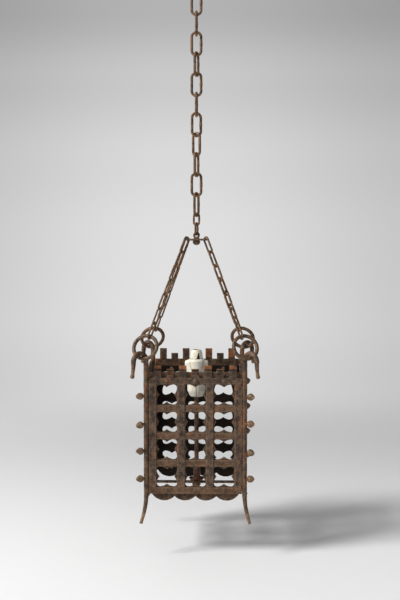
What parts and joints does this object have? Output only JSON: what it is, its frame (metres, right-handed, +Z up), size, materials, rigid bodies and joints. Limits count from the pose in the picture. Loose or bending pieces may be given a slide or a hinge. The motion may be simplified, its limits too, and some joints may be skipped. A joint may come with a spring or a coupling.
{
  "type": "hanging lantern",
  "caption": "Square wrought-iron lantern with barred, pierced sides and a crenellated parapet, hung by its corner crooks from a chain bridle, swivel and ceiling hook.",
  "frame": {"origin": "centre of the ceiling plate's top face, which meets the ceiling", "axes": "+Z up, along the hanging chain, the front side faces -Y, +X to the right of a person who faces it"},
  "size_m": [0.2782, 0.2782, 1.2152],
  "materials": {
    "wrought_iron": "forged flat bar, brown rust, worn edges",
    "rusted_sheet": "pierced sheet, orange rust on the crest",
    "forged_round": "forged round bar, dark brown rust",
    "chain_iron": "welded wire links, dull brown",
    "brass": "dull, aged",
    "rusted_pan": "pressed sheet, brown rust",
    "porcelain": "glazed porcelain, cream white"
  },
  "bodies": {
    "ceiling": {"ceiling_plate": "wrought_iron", "ceiling_hook": "forged_round"},
    "chain_link_1": {"chain_link_1": "chain_iron"},
    "chain_link_2": {"chain_link_2": "chain_iron"},
    "chain_link_3": {"chain_link_3": "chain_iron"},
    "chain_link_4": {"chain_link_4": "chain_iron"},
    "chain_link_5": {"chain_link_5": "chain_iron"},
    "chain_link_6": {"chain_link_6": "chain_iron"},
    "chain_link_7": {"chain_link_7": "chain_iron"},
    "chain_link_8": {"chain_link_8": "chain_iron"},
    "chain_link_9": {"chain_link_9": "chain_iron"},
    "chain_link_10": {"chain_link_10": "chain_iron"},
    "chain_link_11": {"chain_link_11": "chain_iron"},
    "small_link_1": {"small_link_1": "chain_iron"},
    "small_link_2": {"small_link_2": "chain_iron"},
    "swivel": {"swivel_eye": "forged_round", "swivel_washer": "forged_round", "swivel_nut": "forged_round"},
    "lantern": {"spreader_plate": "wrought_iron", "bridle_front_right": "chain_iron", "bridle_back_right": "chain_iron", "bridle_back_left": "chain_iron", "bridle_front_left": "chain_iron", "post_front_right": "forged_round", "post_back_right": "forged_round", "post_back_left": "forged_round", "post_front_left": "forged_round", "post_studs": "forged_round", "sheet_front": "rusted_sheet", "sheet_right": "rusted_sheet", "sheet_back": "rusted_sheet", "sheet_left": "rusted_sheet", "rails_front": "wrought_iron", "rails_right": "wrought_iron", "rails_back": "wrought_iron", "rails_left": "wrought_iron", "uprights_front": "wrought_iron", "uprights_right": "wrought_iron", "uprights_back": "wrought_iron", "uprights_left": "wrought_iron", "crossbars_front": "wrought_iron", "crossbars_right": "wrought_iron", "crossbars_back": "wrought_iron", "crossbars_left": "wrought_iron", "panel_rivets": "wrought_iron", "floor_strap_across": "wrought_iron", "floor_strap_deep": "wrought_iron", "stem_nut": "forged_round", "drip_pan": "rusted_pan", "stem_cup": "rusted_pan", "stem_rod": "forged_round", "holder_base": "porcelain", "holder_body": "porcelain", "screw_shell": "brass", "centre_contact": "brass"},
    "ring_front_right": {"ring_front_right": "forged_round"},
    "ring_back_right": {"ring_back_right": "forged_round"},
    "ring_back_left": {"ring_back_left": "forged_round"},
    "ring_front_left": {"ring_front_left": "forged_round"}
  },
  "joints": [
    {"name": "chain_link_1_tilt", "type": "hinge", "parent": "ceiling", "child": "chain_link_1", "pos_m": [0, 0, -0.052], "axis": [0, 1, 0], "range_deg": [-30, 30]},
    {"name": "chain_link_2_tilt", "type": "hinge", "parent": "chain_link_1", "child": "chain_link_2", "pos_m": [0, 0, -0.0958], "axis": [1, 0, 0], "range_deg": [-30, 30]},
    {"name": "chain_link_3_tilt", "type": "hinge", "parent": "chain_link_2", "child": "chain_link_3", "pos_m": [0, 0, -0.1406], "axis": [0, 1, 0], "range_deg": [-30, 30]},
    {"name": "chain_link_4_tilt", "type": "hinge", "parent": "chain_link_3", "child": "chain_link_4", "pos_m": [0, 0, -0.1854], "axis": [0.9976, 0.0698, 0], "range_deg": [-30, 30]},
    {"name": "chain_link_5_tilt", "type": "hinge", "parent": "chain_link_4", "child": "chain_link_5", "pos_m": [0, 0, -0.2302], "axis": [0.342, 0.9397, 0], "range_deg": [-30, 30]},
    {"name": "chain_link_6_tilt", "type": "hinge", "parent": "chain_link_5", "child": "chain_link_6", "pos_m": [0, 0, -0.275], "axis": [0.9976, -0.0698, 0], "range_deg": [-30, 30]},
    {"name": "chain_link_7_tilt", "type": "hinge", "parent": "chain_link_6", "child": "chain_link_7", "pos_m": [0, 0, -0.3198], "axis": [0.0349, 0.9994, 0], "range_deg": [-30, 30]},
    {"name": "chain_link_8_tilt", "type": "hinge", "parent": "chain_link_7", "child": "chain_link_8", "pos_m": [0, 0, -0.3646], "axis": [0.9272, 0.3746, 0], "range_deg": [-30, 30]},
    {"name": "chain_link_9_tilt", "type": "hinge", "parent": "chain_link_8", "child": "chain_link_9", "pos_m": [0, 0, -0.4094], "axis": [0.7193, -0.6947, 0], "range_deg": [-30, 30]},
    {"name": "chain_link_10_tilt", "type": "hinge", "parent": "chain_link_9", "child": "chain_link_10", "pos_m": [0, 0, -0.4542], "axis": [0.342, 0.9397, 0], "range_deg": [-30, 30]},
    {"name": "chain_link_11_tilt", "type": "hinge", "parent": "chain_link_10", "child": "chain_link_11", "pos_m": [0, 0, -0.499], "axis": [1, 0, 0], "range_deg": [-30, 30]},
    {"name": "small_link_1_tilt", "type": "hinge", "parent": "chain_link_11", "child": "small_link_1", "pos_m": [0, 0, -0.5438], "axis": [0.4067, 0.9135, 0], "range_deg": [-30, 30]},
    {"name": "small_link_2_tilt", "type": "hinge", "parent": "small_link_1", "child": "small_link_2", "pos_m": [0, 0, -0.5649], "axis": [0.9703, -0.2419, 0], "range_deg": [-30, 30]},
    {"name": "swivel_tilt", "type": "hinge", "parent": "small_link_2", "child": "swivel", "pos_m": [0, 0, -0.5867], "axis": [0.3746, 0.9272, 0], "range_deg": [-30, 30]},
    {"name": "lantern_turn", "type": "hinge", "parent": "swivel", "child": "lantern", "pos_m": [0, 0, -0.5996], "axis": [0, 0, 1], "continuous": true},
    {"name": "ring_front_right_turn", "type": "hinge", "parent": "lantern", "child": "ring_front_right", "pos_m": [0.1083, -0.1083, -0.83121], "axis": [-0.3285, 0.3285, 0.8856], "range_deg": [-10, 20]},
    {"name": "ring_back_right_turn", "type": "hinge", "parent": "lantern", "child": "ring_back_right", "pos_m": [0.1083, 0.1083, -0.83121], "axis": [-0.3285, -0.3285, 0.8856], "range_deg": [-20, 10]},
    {"name": "ring_back_left_turn", "type": "hinge", "parent": "lantern", "child": "ring_back_left", "pos_m": [-0.1083, 0.1083, -0.83121], "axis": [0.3285, -0.3285, 0.8856], "range_deg": [-10, 20]},
    {"name": "ring_front_left_turn", "type": "hinge", "parent": "lantern", "child": "ring_front_left", "pos_m": [-0.1083, -0.1083, -0.83121], "axis": [0.3285, 0.3285, 0.8856], "range_deg": [-20, 10]}
  ]
}
